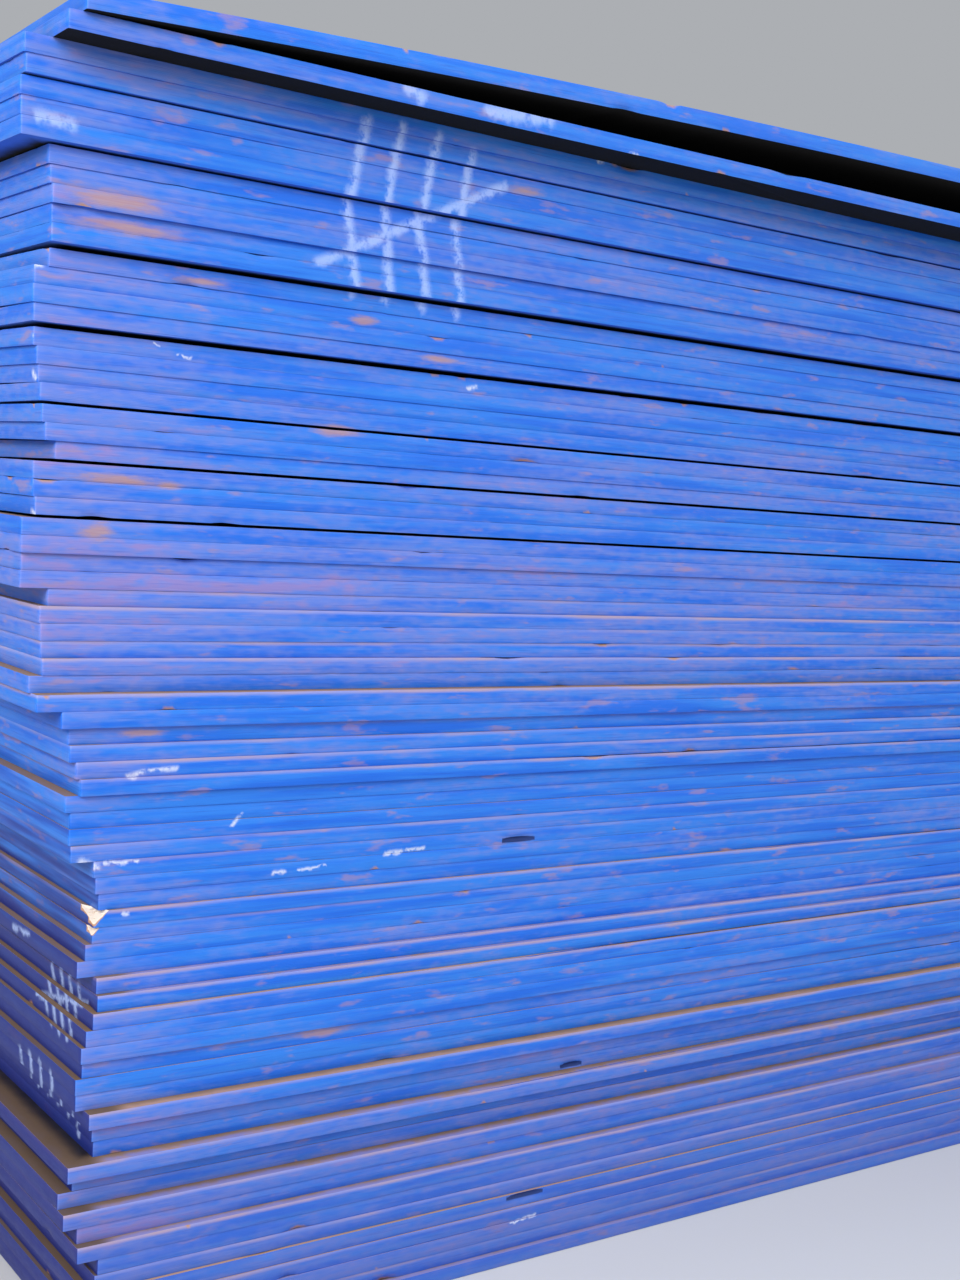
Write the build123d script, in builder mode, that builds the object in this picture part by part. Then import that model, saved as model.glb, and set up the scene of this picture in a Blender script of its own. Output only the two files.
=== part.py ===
"""A pile of film-faced plywood sheets with painted edges, laid flat in lifts that drifted apart.

Millimetres, +Z up. X runs along the sheets and Y across them. The origin is on the floor
under the middle of the pile. The corner at -X, -Y has the ragged upright edge, and above it
two loose sheets lie turned on the pile, the upper one warped into a low arch.
"""
import os
from dataclasses import dataclass
from itertools import cycle
from math import cos, radians, sin, sqrt

from build123d import *

# One sheet
sheet_length = 2440.0
sheet_width = 1220.0
sheet_thickness = 14.5
corner_radius = 2.0

# How far single sheets of a lift stand back from its edge, repeated up the pile
edge_stagger = (0.0, 0.5, -0.3, 0.8, -0.2)

# How high a cupped lift stands along its middle, over its two long edges
faint_cup = 1.5
slight_cup = 2.0
plain_cup = 2.5
deep_cup = 4.0

# How high the loose arched sheet stands in the middle, over its two ends
loose_arch = 30.0

# The corner that broke off one sheet, counted from the floor
broken_sheet = 28
break_along = 14.0
break_across = 30.0
break_depth = 11.0


@dataclass
class Lift:
    """Sheets that were put down together.

    across is how far the lift stands back from the pile's centre line, along has the place
    of each sheet, lowest first, and skew is the lift's turn in degrees. cup is how high its
    middle stands over its long edges, and arch is how high it stands over its ends.
    """

    across: float
    along: tuple
    skew: float = 0.0
    cup: float = 0.0
    arch: float = 0.0


# From the floor up. A lift that stands further back than the one below it leaves a ledge on
# the long edge, and over a cupped lift there is a dark gap.
lifts = [
    Lift(-20.0, (44.0,), skew=0.04),
    Lift(-15.0, (38.0, 36.0, 40.0)),
    Lift(-13.0, (35.0,)),
    Lift(-11.0, (43.0,), skew=-0.05),
    Lift(-10.0, (45.0, 26.0)),
    Lift(-2.0, (28.0, 15.0), skew=0.03),
    Lift(10.0, (15.0, 28.0), skew=-0.03),
    Lift(-4.0, (17.0,), skew=0.03),
    Lift(8.0, (45.0, 43.0)),
    Lift(-2.0, (37.0,), skew=-0.04),
    Lift(11.0, (28.0, 27.0, 33.0), skew=0.05),
    Lift(6.0, (31.0, 35.0, 41.0), skew=-0.02),
    Lift(11.0, (46.0,)),
    Lift(16.0, (46.0,), skew=0.04),
    Lift(21.0, (31.0, 38.0, 44.0, 45.0), skew=-0.03),
    Lift(24.0, (49.0, 46.0, 44.0, 23.0), skew=0.02),
    Lift(26.0, (22.0, 23.0, 18.0)),
    Lift(20.0, (30.0,), skew=-0.05),
    Lift(23.0, (26.0,)),
    Lift(25.0, (20.0,), skew=0.03),
    Lift(27.0, (20.0,)),
    Lift(22.0, (12.0, -10.0), skew=-0.02),
    Lift(36.0, (-13.0, -2.0), skew=0.03),
    Lift(38.0, (-2.0, -3.0, -4.0)),
    Lift(40.0, (4.0, -20.0, -19.0), skew=-0.03),
    Lift(38.0, (-21.0, -21.0), cup=plain_cup),
    Lift(37.0, (-11.0,), skew=0.05),
    Lift(38.0, (-12.0, -12.0), cup=plain_cup),
    Lift(36.0, (6.0,), skew=-0.05),
    Lift(35.0, (-4.0, -7.0), cup=plain_cup),
    Lift(38.0, (-9.0,), skew=0.04),
    Lift(40.0, (-9.0, -11.0, -14.0), cup=deep_cup),
    Lift(33.0, (-17.0,), skew=0.03),
    Lift(32.0, (-18.0, -17.0, -6.0), cup=deep_cup),
    Lift(20.0, (-7.0, -7.0), skew=-0.08),
    Lift(18.0, (-9.0, -11.0, -13.0), cup=slight_cup),
    Lift(10.0, (-39.0,), skew=0.04),
    Lift(9.0, (-39.0, -40.0), cup=faint_cup),
    Lift(6.0, (-38.0, -40.0), skew=0.08),
]

# The two loose sheets overhang the front edge. The arched one stands on its two ends.
loose_flat = Lift(-56.0, (-5.0,), skew=-1.2)
loose_arched = Lift(-66.0, (7.0,), skew=-1.3, arch=loose_arch)


@dataclass
class Place:
    """Where one sheet lies: its middle, the height of its lowest edge, and its lift.

    beside is how far its middle is from that of the lift's lowest sheet, across the pile.
    """

    lift: Lift
    along: float
    across: float
    height: float
    beside: float = 0.0


def lay_pile():
    """Give every sheet its place, from the floor up, and the loose ones on top."""
    places = []
    height = 0.0
    stagger = cycle(edge_stagger)
    for lift in lifts:
        lowest = None
        for along in lift.along:
            step = next(stagger)
            lowest = step if lowest is None else lowest
            places.append(Place(lift, along, lift.across + step, height, step - lowest))
            height += sheet_thickness
        height += lift.cup
    for loose in (loose_flat, loose_arched):
        places.append(Place(loose, loose.along[0], loose.across, height))
        height += sheet_thickness
    return places


def middle_of_pile(places):
    """Middle of the floor area that the pile covers."""
    reach_x = []
    reach_y = []
    for place in places:
        turn = radians(abs(place.lift.skew))
        half_x = (sheet_length * cos(turn) + sheet_width * sin(turn)) / 2
        half_y = (sheet_width * cos(turn) + sheet_length * sin(turn)) / 2
        reach_x += [place.along - half_x, place.along + half_x]
        reach_y += [place.across - half_y, place.across + half_y]
    return (min(reach_x) + max(reach_x)) / 2, (min(reach_y) + max(reach_y)) / 2


def bend_height(distance, span, crown):
    """Height of a bent sheet over its two low edges, at a distance from its middle."""
    radius = (span**2 / 4 + crown**2) / (2 * crown)
    return sqrt(radius**2 - distance**2) - (radius - crown)


def bent_edges(span, crown, beside=0.0):
    """Points on the underside and on the top of a bent sheet, its low edges at zero."""
    stations = (-span / 2, 0.0, span / 2)
    under = [(x, bend_height(x + beside, span, crown)) for x in stations]
    upper = [(x, z + sheet_thickness) for x, z in under]
    return under, upper


def build_sheet(place, broken=False):
    """One sheet: the outline of an edge, flat or bent, pushed over the sheet's other size.

    A cupped sheet starts from the outline of its end, and any other from its long edge.
    """
    turn = radians(place.lift.skew)
    middle = (place.along, place.across, place.height)
    sheetwise = (cos(turn), sin(turn), 0)
    outward = (sin(turn), -cos(turn), 0)
    inward = (-sin(turn), cos(turn), 0)
    long_edge = Plane(origin=middle, x_dir=sheetwise, z_dir=outward)
    end = Plane(origin=middle, x_dir=inward, z_dir=sheetwise)
    cupped = place.lift.cup > 0
    span, depth = (sheet_width, sheet_length) if cupped else (sheet_length, sheet_width)
    crown = place.lift.cup or place.lift.arch
    with BuildPart() as sheet:
        with BuildSketch(end if cupped else long_edge):
            if crown:
                under, upper = bent_edges(span, crown, place.beside)
                with BuildLine():
                    ThreePointArc(*under)
                    Line(under[2], upper[2])
                    ThreePointArc(*reversed(upper))
                    Line(upper[0], under[0])
                make_face()
            else:
                Rectangle(span, sheet_thickness, align=(Align.CENTER, Align.MIN))
        extrude(amount=depth / 2, both=True)
        fillet(sheet.edges().filter_by(Axis.Z), corner_radius)
        if broken:
            split(bisect_by=break_plane(long_edge), keep=Keep.BOTTOM)
    return sheet.part


def break_plane(side):
    """The slope along which the near upper corner of a sheet broke off."""
    half = sheet_length / 2
    front = sheet_width / 2
    on_front = side.from_local_coords(Vector(-half + break_along, sheet_thickness, front))
    on_end = side.from_local_coords(Vector(-half, sheet_thickness, front - break_across))
    lowest = side.from_local_coords(Vector(-half, sheet_thickness - break_depth, front))
    outward = (on_end - on_front).cross(lowest - on_front)
    return Plane(origin=on_front, x_dir=on_end - on_front, z_dir=outward)


def build_pile():
    """Every sheet of the pile in its place, lowest first, with the origin under its middle."""
    places = lay_pile()
    middle_x, middle_y = middle_of_pile(places)
    sheets = []
    for number, place in enumerate(places, start=1):
        place.along -= middle_x
        place.across -= middle_y
        sheets.append(build_sheet(place, broken=number == broken_sheet))
    return sheets


def every_other(sheets):
    """Pair each sheet with the one two above it, which it doesn't touch."""
    left = dict(enumerate(sheets, start=1))
    while left:
        lowest = min(left)
        pair = [number for number in (lowest, lowest + 2) if number in left]
        yield "_".join(f"{number:02d}" for number in pair), [left.pop(number) for number in pair]


def write_group(name, sheets):
    """Write sheets that don't touch each other as one group."""
    with BuildPart() as group:
        for sheet in sheets:
            add(sheet)
    group.part.label = name
    export_step(group.part, f"parts/{name}.step")


os.makedirs("parts", exist_ok=True)
pile = build_pile()
for numbers, pair in every_other(pile[:-2]):
    write_group(f"sheets_{numbers}", pair)
write_group("loose_flat_sheet", [pile[-2]])
write_group("loose_arched_sheet", [pile[-1]])
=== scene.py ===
"""The look of a pile of film-faced plywood sheets with painted edges.

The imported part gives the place, turn and bend of every sheet. Each sheet is built again with
worn arrises, chipped corners and voids in its core, then painted, scuffed and chalked.
"""
import logging
import math
from collections.abc import Callable
from dataclasses import dataclass
from enum import Enum
from functools import reduce

import bmesh
import bpy
import numpy as np
from mathutils import Matrix, Vector


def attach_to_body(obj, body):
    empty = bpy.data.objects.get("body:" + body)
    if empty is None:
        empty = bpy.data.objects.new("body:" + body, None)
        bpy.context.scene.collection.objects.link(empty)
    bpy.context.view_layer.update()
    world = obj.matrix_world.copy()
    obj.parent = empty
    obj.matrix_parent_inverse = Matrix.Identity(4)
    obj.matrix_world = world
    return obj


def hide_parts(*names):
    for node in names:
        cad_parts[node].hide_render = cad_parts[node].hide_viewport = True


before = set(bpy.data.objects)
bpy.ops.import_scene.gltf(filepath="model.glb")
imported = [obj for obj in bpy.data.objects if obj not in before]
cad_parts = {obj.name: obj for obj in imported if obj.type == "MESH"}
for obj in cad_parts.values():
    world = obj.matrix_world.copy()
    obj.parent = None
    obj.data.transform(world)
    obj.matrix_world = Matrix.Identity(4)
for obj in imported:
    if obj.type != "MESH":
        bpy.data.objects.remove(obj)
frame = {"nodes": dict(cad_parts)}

logging.basicConfig(level=logging.INFO, format="%(message)s")
log = logging.getLogger("pile")

Array = np.ndarray
BMesh = bmesh.types.BMesh
Items = bpy.types.bpy_prop_collection
Material = bpy.types.Material
Mesh = bpy.types.Mesh
Object = bpy.types.Object
Socket = bpy.types.NodeSocket
Sockets = Items
Tree = bpy.types.NodeTree
Value = Socket | Vector | float | tuple

SEED = 71
X, Y, Z = Vector((1, 0, 0)), Vector((0, 1, 0)), Vector((0, 0, 1))
ORIGIN = (0.0, 0.0, 0.0)

# A face belongs to the top or the underside when its normal is at least this upright
UPRIGHT = 0.93

# Numbers of the two loose sheets, which the pile's own sheets never reach
LOOSE_NUMBERS = {"flat": 98, "arched": 99}


def linear(*display: float) -> tuple:
    """Turn a display colour into the linear colour of a shader.

    Args:
        display: Red, green and blue, 0 to 255.

    Returns:
        Red, green, blue and alpha, 0 to 1.
    """
    shares = [value / 255 for value in display]
    return (*(s / 12.92 if s <= 0.04045 else ((s + 0.055) / 1.055) ** 2.4 for s in shares), 1.0)


def cut(bm: BMesh, point: Vector, normal: Vector, **options: bool) -> dict:
    """Cut a mesh along a plane, with the options of bmesh.ops.bisect_plane."""
    everything = [*bm.verts, *bm.edges, *bm.faces]
    return bmesh.ops.bisect_plane(bm, geom=everything, plane_co=point, plane_no=normal, **options)


def stored(bm: BMesh, name: str) -> Mesh:
    """Write a mesh that was edited to a new mesh, and free it.

    Args:
        bm: The mesh that was edited.
        name: Name of the new mesh.

    Returns:
        The new mesh.
    """
    made = bpy.data.meshes.new(name)
    bm.to_mesh(made)
    bm.free()
    return made


def fetched(items: Items, name: str, width: int = 1, kind: type = np.float32) -> Array:
    """Read one property of every item.

    Args:
        items: The items, such as the points of a mesh.
        name: Name of the property.
        width: Numbers in one value.
        kind: Kind of number.

    Returns:
        The values, one a row if they have more than one number.
    """
    values = np.empty(len(items) * width, kind)
    items.foreach_get(name, values)
    return values if width == 1 else values.reshape(-1, width)


def attach(mesh: Mesh, name: str, domain: str, values: Array) -> None:
    """Store a number for each point or face of a mesh as an attribute."""
    mesh.attributes.new(name, "FLOAT", domain).data.foreach_set("value", values.astype(np.float32))


class Bend(Enum):
    """How a sheet is bent, and which of its faces have to be cut in strips to follow it."""

    FLAT = "flat"
    CUPPED = "cupped"
    ARCHED = "arched"


@dataclass
class SheetForm:
    """One sheet of plywood at the origin, its long edge along X and its underside at zero.

    fine and coarse are the distances between the cuts along an edge, near the corner that
    is seen closest and elsewhere, and fine_reach is how far the fine cuts go from it. Spans
    shorter than shortest stay whole.
    """

    length: float = 2.44
    width: float = 1.22
    thickness: float = 0.0145
    corner_radius: float = 0.002
    corner_segments: int = 3
    arris: float = 0.00013
    arris_segments: int = 2
    fine: float = 0.006
    coarse: float = 0.024
    shortest: float = 0.01
    fine_reach: tuple = (0.72, 0.3)
    cupped_strips: int = 16
    arched_strips: int = 80

    def mesh(self, bend: Bend) -> Mesh:
        """Build the sheet.

        Args:
            bend: The way the sheet will be bent, which sets how its faces are cut.

        Returns:
            A mesh with rounded corners, rounded arrises and a UV map.
        """
        bm = bmesh.new()
        bmesh.ops.create_cube(bm, size=1.0)
        bmesh.ops.scale(bm, vec=(self.length, self.width, self.thickness), verts=bm.verts)
        bmesh.ops.translate(bm, vec=(0, 0, self.thickness / 2), verts=bm.verts)
        upright = [e for e in bm.edges if abs(e.verts[0].co.z - e.verts[1].co.z) > 1e-4]
        self._round(bm, upright, self.corner_radius, self.corner_segments)
        self._cut_edges(bm)
        rims = {edge for face in self._caps(bm) for edge in face.edges}
        self._round(bm, list(rims), self.arris, self.arris_segments)
        self._cut_strips(bm, bend)
        bmesh.ops.recalc_face_normals(bm, faces=bm.faces)
        self._map(bm)
        return stored(bm, f"sheet_form_{bend.value}")

    @staticmethod
    def _caps(bm: BMesh) -> list:
        """The top and the underside."""
        return [face for face in bm.faces if abs(face.normal.z) > UPRIGHT]

    @staticmethod
    def _round(bm: BMesh, edges: list, radius: float, segments: int) -> None:
        """Round some edges."""
        sizes = {"offset": radius, "segments": segments, "profile": 0.5}
        bmesh.ops.bevel(bm, geom=edges, affect="EDGES", material=-1, clamp_overlap=True, **sizes)

    def _cut_edges(self, bm: BMesh) -> None:
        """Cut the walls in short spans, closer together near the corner in view.

        Args:
            bm: The sheet, with rounded corners.
        """
        bmesh.ops.delete(bm, geom=self._caps(bm), context="FACES_ONLY")
        near_x, near_y = self.fine_reach[0] - self.length / 2, self.fine_reach[1] - self.width / 2
        cut(bm, X * near_x, X)
        cut(bm, Y * near_y, Y)
        spans = {}
        for edge in bm.edges:
            run = edge.verts[1].co - edge.verts[0].co
            if abs(run.z) > 1e-5 or run.length < self.shortest:
                continue
            middle = (edge.verts[0].co + edge.verts[1].co) / 2
            step = self.fine if middle.x < near_x and middle.y < near_y else self.coarse
            spans.setdefault(max(1, round(run.length / step) - 1), []).append(edge)
        for cuts, edges in spans.items():
            bmesh.ops.subdivide_edges(bm, edges=edges, cuts=cuts, use_grid_fill=False)
        cut(bm, Z * self.thickness / 2, Z)
        open_edges = [e for e in bm.edges if e.is_boundary]
        for low in (True, False):
            rim = [e for e in open_edges if (e.verts[0].co.z < self.thickness / 2) == low]
            bmesh.ops.edgeloop_fill(bm, edges=rim)
        bmesh.ops.recalc_face_normals(bm, faces=bm.faces)

    def _cut_strips(self, bm: BMesh, bend: Bend) -> None:
        """Cut the sheet in strips that can follow the bend.

        Args:
            bm: The sheet.
            bend: The way the sheet will be bent.
        """
        along, size, strips = {
            Bend.FLAT: (X, self.length, 1),
            Bend.CUPPED: (Y, self.width, self.cupped_strips),
            Bend.ARCHED: (X, self.length, self.arched_strips),
        }[bend]
        for strip in range(1, strips):
            cut(bm, along * (size * (strip / strips - 0.5)), along)

    def _map(self, bm: BMesh) -> None:
        """Give the walls a map along their edge and up, and the two faces one over X and Y.

        Args:
            bm: The sheet.
        """
        layer = bm.loops.layers.uv.new("sheet")
        caps = set(self._caps(bm))
        for face in bm.faces:
            flat = face in caps
            face.material_index = int(flat)
            face.smooth = not flat
            end = abs(face.normal.x) > abs(face.normal.y)
            for loop in face.loops:
                x, y, z = loop.vert.co
                loop[layer].uv = (x, y) if flat else (y if end else x, z / self.thickness)


@dataclass
class SheetPlace:
    """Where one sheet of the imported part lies, measured on its own triangles.

    Sizes are metres. turn is in radians, and rise is how high the middle of a bent sheet
    stands over its two low edges.
    """

    centre: Vector
    turn: float
    bend: Bend
    rise: float

    @classmethod
    def measured(
        cls, points: Array, form: SheetForm, least_rise: float = 0.0005, least_turn: float = 0.0001
    ) -> "SheetPlace":
        """Measure one sheet.

        Args:
            points: Corners of the sheet's triangles, one a row.
            form: The sizes of a sheet.
            least_rise: A sheet that rises less is flat.
            least_turn: A sheet that is turned less lies straight.

        Returns:
            The place of the sheet.
        """
        low, high = points.min(0), points.max(0)
        middle = (low + high) / 2
        spread = high[1] - low[1]
        turn = 0.0
        for _ in range(30):
            sine = (spread - form.width * math.cos(turn)) / form.length
            turn = math.asin(min(1.0, max(0.0, sine)))
        if turn < least_turn:
            turn = 0.0
        elif points[points[:, 1].argmin(), 0] > middle[0]:
            turn = -turn
        rise = max(0.0, high[2] - low[2] - form.thickness)
        bend = Bend.FLAT
        if rise > least_rise:
            away = points[:, :2] - middle[:2]
            lengthwise = away @ np.array([math.cos(turn), math.sin(turn)])
            crosswise = away @ np.array([-math.sin(turn), math.cos(turn)])
            steps = [len(np.unique(np.round(values, 3))) for values in (lengthwise, crosswise)]
            bend = Bend.ARCHED if steps[0] > steps[1] else Bend.CUPPED
        return cls(Vector((middle[0], middle[1], low[2])), turn, bend, rise)


@dataclass
class Chip:
    """A place on an arris where the veneer broke away, and how bare its wood is."""

    at: float
    half: float
    depth: float
    bare: float


@dataclass
class Void:
    """A hollow in the core that shows on the long edge: its place along X, size and depth.

    lip is how far it stays from the arrises, and squeeze how much of the height is left.
    """

    sheet: int
    at: float
    half: float
    depth: float = 0.0035
    lip: float = 0.0009
    squeeze: float = 0.9

    def sink(self, bm: BMesh) -> None:
        """Inset the wall at the hollow and push it in.

        Args:
            bm: The sheet in its place.
        """
        level = {}
        for face in bm.faces:
            centre = face.calc_center_median()
            if face.normal.y < -0.9 and abs(centre.x - self.at) < self.half:
                level.setdefault(round(centre.z, 3), []).append(face)
        faces = max(level.values(), key=lambda group: sum(f.calc_area() for f in group))
        bmesh.ops.inset_region(bm, faces=faces, thickness=self.lip, depth=0.0, use_even_offset=True)
        bare = bm.verts.layers.float["bare"]
        inner = {v for f in faces for v in f.verts}
        mean = math.fsum(v.co.z for v in inner) / len(inner)
        for vert in inner:
            share = min(1.0, abs(vert.co.x - self.at) / self.half)
            vert.co.z = mean + (vert.co.z - mean) * self.squeeze * math.sqrt(1.0 - share**2)
            vert.co.y += self.depth * (1.0 - share**2) + 0.0004
            vert[bare] = -1.0


@dataclass
class BrokenCorner:
    """The slope along which the upper corner of a sheet broke off, as sizes on its edges.

    hollow is how far the break is sunk in its middle, and rooted how far its slivers are.
    """

    sheet: int
    along: float
    across: float
    depth: float
    slivers: int = 9
    hollow: float = 0.0025
    rooted: float = 0.0012
    sliver_length: tuple = (0.003, 0.008)
    sliver_radius: tuple = (0.0007, 0.0013)

    def clip(self, bm: BMesh, form: SheetForm) -> None:
        """Cut the corner off, and close the break with a rough face.

        Args:
            bm: The unworn sheet.
            form: Its sizes.
        """
        layer = bm.verts.layers.float.new("torn")
        corner = Vector((-form.length / 2, -form.width / 2, form.thickness))
        rim = corner + X * self.along, corner + Y * self.across, corner - Z * self.depth
        outward = (rim[1] - rim[0]).cross(rim[2] - rim[0]).normalized()
        if outward.dot(corner - rim[0]) < 0:
            outward = -outward
        seam = cut(bm, rim[0], outward, clear_outer=True)["geom_cut"]
        edges = [e for e in seam if isinstance(e, bmesh.types.BMEdge) and e.is_boundary]
        faces = bmesh.ops.edgeloop_fill(bm, edges=edges)["faces"]
        bmesh.ops.recalc_face_normals(bm, faces=bm.faces)
        for face in faces:
            face.material_index = 0
            face.smooth = False
        poked = bmesh.ops.poke(bm, faces=faces)
        for vert in poked["verts"]:
            vert.co -= outward * self.hollow
        torn = {vert for face in poked["faces"] for vert in face.verts}
        for vert in torn | self._splinters(bm, form, rim, outward):
            vert[layer] = 1.0

    def _splinters(self, bm: BMesh, form: SheetForm, rim: tuple, outward: Vector) -> set:
        """Stand slivers of veneer on the break, all inside the corner that is gone.

        Args:
            bm: The sheet without its corner.
            form: Its sizes.
            rim: The three corners of the break.
            outward: Normal of the break.

        Returns:
            The points of the slivers.
        """
        rng = np.random.default_rng(SEED + self.sheet)
        made = set()
        for _ in range(self.slivers):
            shares = rng.dirichlet((1.0, 1.0, 1.0))
            foot = sum((point * float(share) for point, share in zip(rim, shares)), Vector())
            foot -= outward * self.rooted
            lean = Vector((-1.0, rng.uniform(-0.6, 0.1), rng.uniform(-0.1, 0.35))).normalized()
            room = 0.9 * (foot.x + form.length / 2) / max(0.05, -lean.x)
            reach = min(float(rng.uniform(*self.sliver_length)), max(0.001, room))
            turn = lean.to_track_quat("Z", "Y").to_matrix().to_4x4()
            turn.translation = foot + lean * reach / 2
            radius = float(rng.uniform(*self.sliver_radius))
            new = bmesh.ops.create_cone(
                bm, cap_ends=True, segments=4, radius1=radius, radius2=0.0001, depth=reach, matrix=turn
            )
            made |= set(new["verts"])
        return made


@dataclass
class Wear:
    """How worn the edges of a sheet are. Sizes are metres, and every wear goes inwards.

    wave_step and nibble_step are the distances at which the wear changes. A chip reaches
    chip_reach up or down the edge, and bends the face within chip_lift of the arris.
    """

    waviness: float = 0.00022
    wave_step: float = 0.09
    nibble: float = 0.00018
    nibble_step: float = 0.012
    chips_per_metre: float = 1.1
    deepest_chip: float = 0.0018
    shortest_chip: float = 0.0035
    longest_chip: float = 0.016
    chip_reach: float = 0.0045
    chip_lift: float = 0.0012
    bare_share: float = 0.4

    def chips(self, rng: np.random.Generator, length: float) -> list[Chip]:
        """Scatter chips along one arris, most of them shallow.

        Args:
            rng: Source of the random numbers of this sheet.
            length: Length of the arris.

        Returns:
            The chips.
        """
        made = []
        for _ in range(rng.poisson(self.chips_per_metre * length)):
            size = rng.random() ** 2.2
            at = rng.uniform(-length / 2, length / 2)
            half = self.shortest_chip + self.longest_chip * size * rng.uniform(0.5, 1.0)
            bare = float(rng.random() < self.bare_share)
            made.append(Chip(at, half, self.deepest_chip * (0.1 + 0.9 * size), bare))
        return made

    def bite(self, rng: np.random.Generator, along: Array, length: float) -> tuple[Array, Array]:
        """Depth that is worn off one arris at each place along it, and how bare it is there.

        Args:
            rng: Source of the random numbers of this sheet.
            along: Places along the arris.
            length: Length of the arris.

        Returns:
            The depth at each place, and the share of bare wood.
        """
        knots = np.linspace(-length / 2, length / 2, int(length / self.nibble_step) + 2)
        rough = np.interp(along, knots, rng.random(len(knots)))
        broad = np.interp(along, knots[::9], rng.random(len(knots[::9])))
        depth = self.nibble * rough**3 * (0.4 + broad)
        bare = np.zeros(len(along))
        for chip in self.chips(rng, length):
            reach = np.sqrt(np.clip(1 - np.abs(along - chip.at) / chip.half, 0, 1))
            depth = np.maximum(depth, chip.depth * reach * (0.75 + 0.35 * rough))
            bare = np.maximum(bare, chip.bare * reach)
        return depth, bare


@dataclass
class Sheet:
    """One worn sheet of plywood in its place."""

    number: int
    place: SheetPlace
    form: SheetForm
    wear: Wear

    def mesh(self, template: Mesh) -> Mesh:
        """Copy the template, wear its edges, bend it and lay it in its place.

        Args:
            template: Mesh of an unworn sheet with the cuts that this sheet's bend needs.

        Returns:
            The mesh of the sheet in its place, with the attributes number, pale and bare.
        """
        made = template.copy()
        points, bare = self._worn(fetched(made.vertices, "co", 3).astype(float))
        points = self._laid(points)
        made.vertices.foreach_set("co", points.astype(np.float32).ravel())
        if "torn" in made.attributes:
            bare = np.maximum(bare, 2.0 * fetched(made.attributes["torn"].data, "value"))
            made.attributes.remove(made.attributes["torn"])
        attach(made, "bare", "POINT", bare)
        whole = np.ones(len(made.polygons))
        attach(made, "number", "FACE", whole * self.number)
        attach(made, "pale", "FACE", whole * PALE_LINES.get(self.number, FAINT_LINE))
        return made

    def _worn(self, points: Array) -> tuple[Array, Array]:
        """Push the walls and arrises inwards where they are worn.

        Args:
            points: Points of an unworn sheet.

        Returns:
            The points of the worn sheet, and how bare its wood is at each.
        """
        form, wear = self.form, self.wear
        rng = np.random.default_rng(SEED + 13 * self.number)
        half = np.array([form.length / 2, form.width / 2])
        core = np.clip(points[:, :2], -half + form.corner_radius, half - form.corner_radius)
        outward = points[:, :2] - core
        size = np.linalg.norm(outward, axis=1, keepdims=True)
        outward = np.where(size > 1e-6, outward / np.maximum(size, 1e-9), 0.0)
        on_rim = size[:, 0] > 1e-6
        height = points[:, 2].copy()
        depth, lift, bare = np.zeros((3, len(points)))
        for axis, length in ((0, form.length), (1, form.width)):
            for side in (-1, 1):
                facing = (np.abs(outward[:, 1 - axis]) >= 0.70) & (np.sign(points[:, 1 - axis]) == side)
                here = on_rim & facing
                along = points[here, axis]
                knots = np.linspace(-length / 2, length / 2, int(length / wear.wave_step) + 2)
                wave = np.interp(along, knots, rng.random(len(knots))) * wear.waviness
                depth[here] = np.maximum(depth[here], wave)
                for sign, gap in ((1, height[here]), (-1, form.thickness - height[here])):
                    bite, worn = wear.bite(rng, along, length)
                    near = np.clip(1 - gap / wear.chip_reach, 0, 1) ** 0.8
                    depth[here] = np.maximum(depth[here], wave + bite * near)
                    lift[here] += sign * bite * 0.8 * np.clip(1 - gap / wear.chip_lift, 0, 1)
                    bare[here] = np.maximum(bare[here], worn * near)
        points[:, :2] -= outward * depth[:, None]
        points[:, 2] += lift
        return points, bare

    def _laid(self, points: Array) -> Array:
        """Bend the sheet, turn it and move it to its place.

        Args:
            points: Points of the worn sheet.

        Returns:
            The points in their place.
        """
        place, form = self.place, self.form
        if place.bend is Bend.CUPPED:
            points[:, 2] += place.rise * (1 - (points[:, 1] / (form.width / 2)) ** 2)
        elif place.bend is Bend.ARCHED:
            points[:, 2] += place.rise * (1 - (points[:, 0] / (form.length / 2)) ** 2)
        cosine, sine = math.cos(place.turn), math.sin(place.turn)
        x, y = points[:, 0].copy(), points[:, 1].copy()
        points[:, 0] = x * cosine - y * sine + place.centre.x
        points[:, 1] = x * sine + y * cosine + place.centre.y
        points[:, 2] += place.centre.z
        return points


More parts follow.
